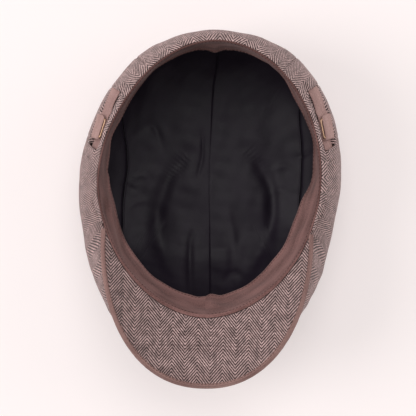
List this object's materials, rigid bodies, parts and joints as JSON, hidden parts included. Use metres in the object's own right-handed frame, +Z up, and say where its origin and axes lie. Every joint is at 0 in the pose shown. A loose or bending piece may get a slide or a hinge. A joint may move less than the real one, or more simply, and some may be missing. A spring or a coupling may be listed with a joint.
{
  "type": "tweed flat cap",
  "caption": "Herringbone tweed flat cap with a bound peak, a brown sweatband, a black lining and a buckled strap at each side, lying on its crown with the opening up.",
  "frame": {"origin": "on the surface that the cap lies on, under the middle of its length and width", "axes": "+Z up, out of the head opening; the peak points along -Y; X runs across the cap"},
  "size_m": [0.1978, 0.2659, 0.0993],
  "materials": {
    "tweed": "herringbone wool tweed",
    "suede": "matt suede",
    "lining": "satin lining",
    "brass": "satin"
  },
  "bodies": {
    "root": {"crown_top": "tweed", "crown_front_left": "tweed", "crown_front_right": "tweed", "crown_inset_left": "tweed", "crown_inset_right": "tweed", "crown_rear_left": "tweed", "crown_rear_right": "tweed", "crown_back": "tweed", "rim_band": "tweed", "peak": "tweed", "sweatband": "suede", "peak_binding": "suede", "strap_rear_left": "suede", "strap_rear_right": "suede", "strap_front_left": "suede", "strap_front_right": "suede", "lining_top_left": "lining", "lining_top_right": "lining", "lining_side_left": "lining", "lining_side_right": "lining", "buckle_left": "brass", "buckle_right": "brass"}
  },
  "joints": []
}
